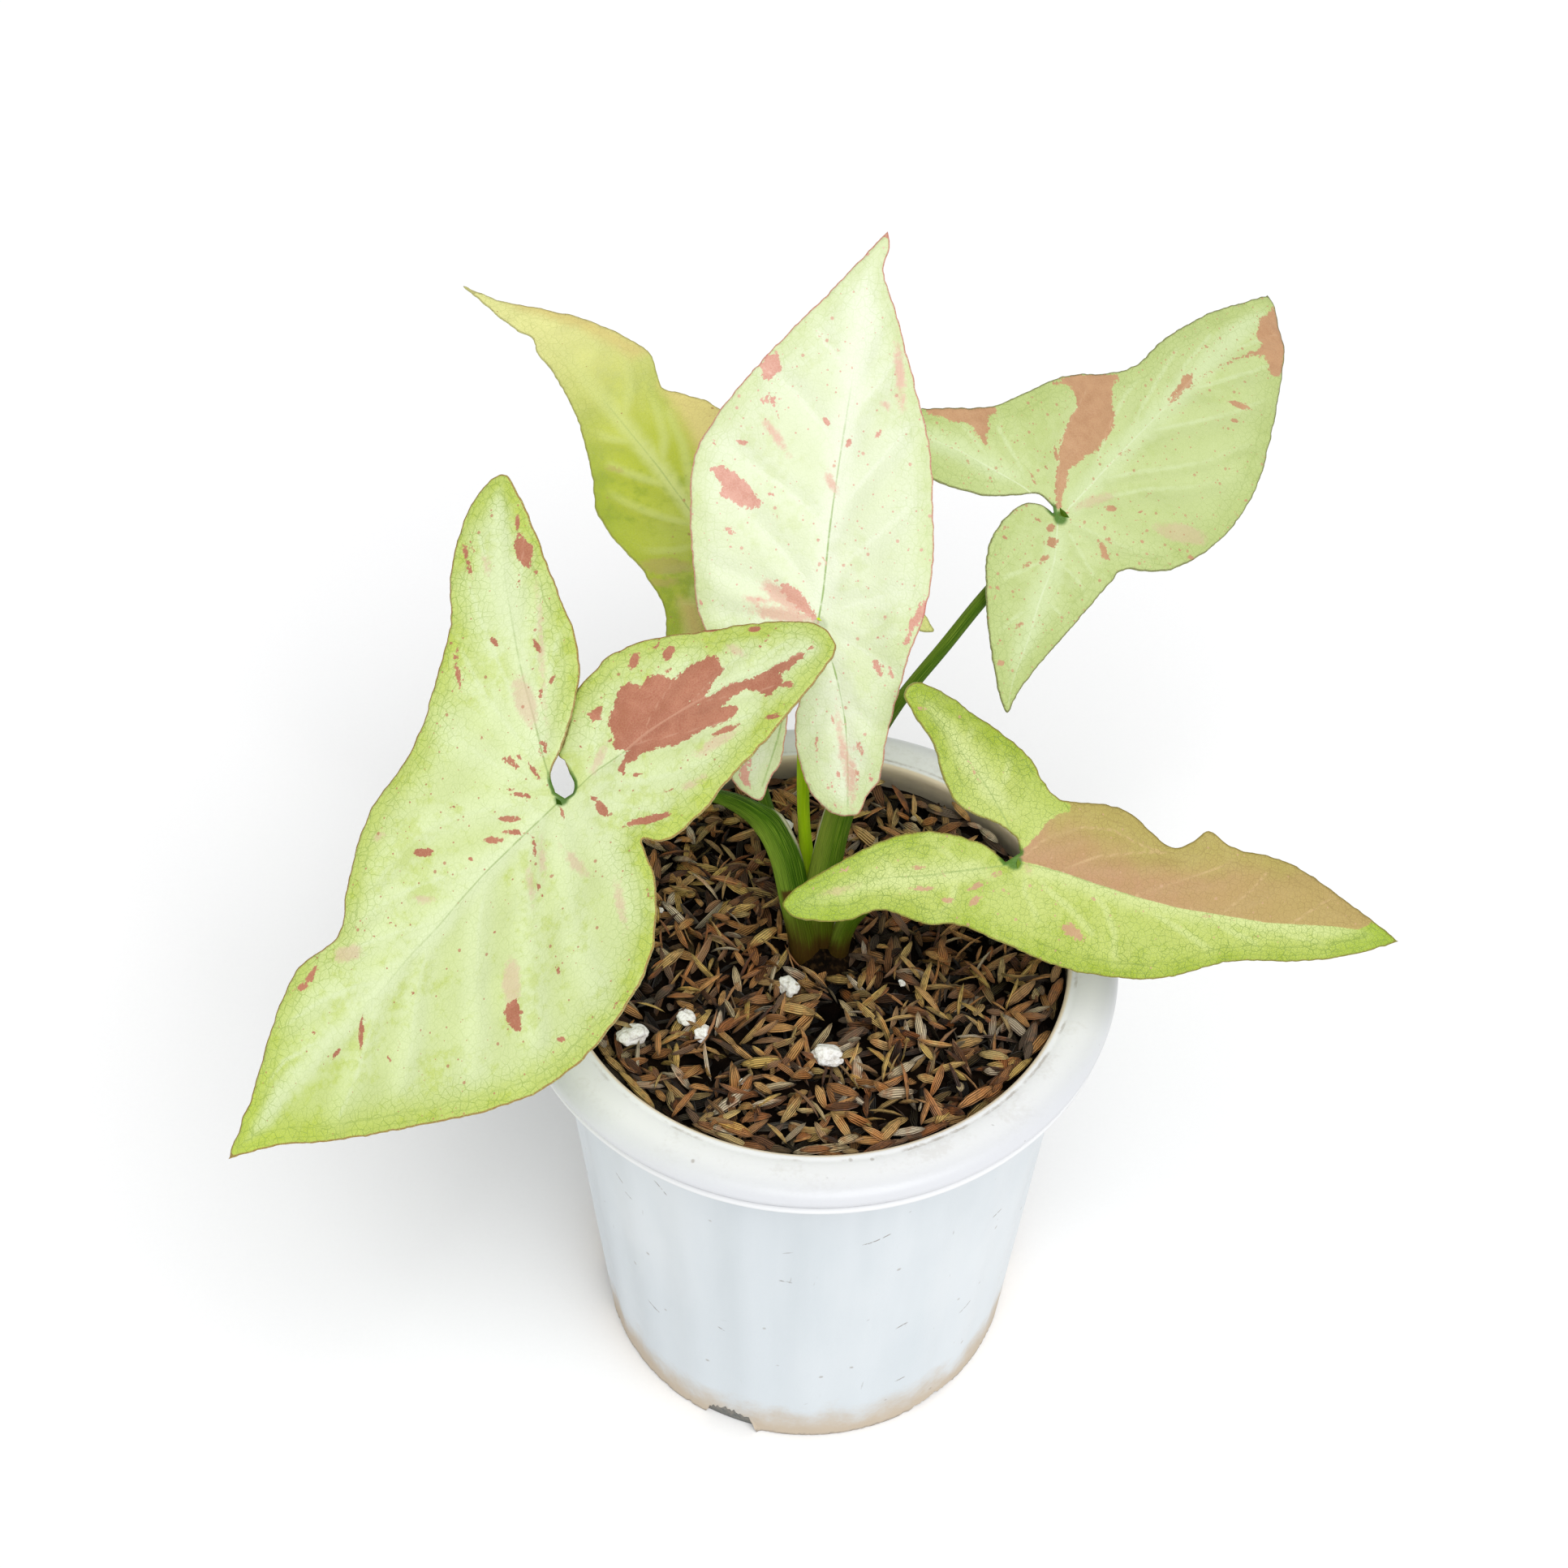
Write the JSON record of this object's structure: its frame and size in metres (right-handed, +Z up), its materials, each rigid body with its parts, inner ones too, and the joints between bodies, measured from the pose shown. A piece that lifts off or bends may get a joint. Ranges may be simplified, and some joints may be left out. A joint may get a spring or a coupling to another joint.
{
  "type": "potted arrowhead plant",
  "caption": "Arrowhead plant with blotched arrow-shaped leaves on sheathed stalks, standing in husk compost in a fluted white round pot with a rolled rim.",
  "frame": {"origin": "centre of the pot's flat underside", "axes": "+Z up along the pot's axis; -Y is the side the picture looks from, +X to its right"},
  "size_m": [0.2701, 0.2377, 0.2814],
  "materials": {
    "pot": "white polypropylene, slightly glossy, scuffed",
    "soil": "loose charred and raw rice husks with perlite",
    "stem": "living sheathed crown, green above and brown below",
    "petiole_front_left": "living leaf stalk, smooth green",
    "petiole_centre": "living leaf stalk, smooth green",
    "petiole_back_left": "living leaf stalk, smooth green",
    "petiole_back_right": "living leaf stalk, smooth green",
    "petiole_front_right": "living leaf stalk, smooth green",
    "leaf_front_left": "living leaf blade, satin, pale green with brown-pink blotches",
    "leaf_centre": "living leaf blade, satin, pale green with brown-pink blotches",
    "leaf_back_left": "living leaf blade, satin, pale green with brown-pink blotches",
    "leaf_back_right": "living leaf blade, satin, pale green with brown-pink blotches",
    "leaf_front_right": "living leaf blade, satin, pale green with brown-pink blotches"
  },
  "bodies": {
    "root": {"pot": "pot", "soil": "soil", "stem": "stem", "petiole_front_left": "petiole_front_left", "petiole_centre": "petiole_centre", "petiole_back_left": "petiole_back_left", "petiole_back_right": "petiole_back_right", "petiole_front_right": "petiole_front_right", "leaf_front_left": "leaf_front_left", "leaf_centre": "leaf_centre", "leaf_back_left": "leaf_back_left", "leaf_back_right": "leaf_back_right", "leaf_front_right": "leaf_front_right"}
  },
  "joints": []
}
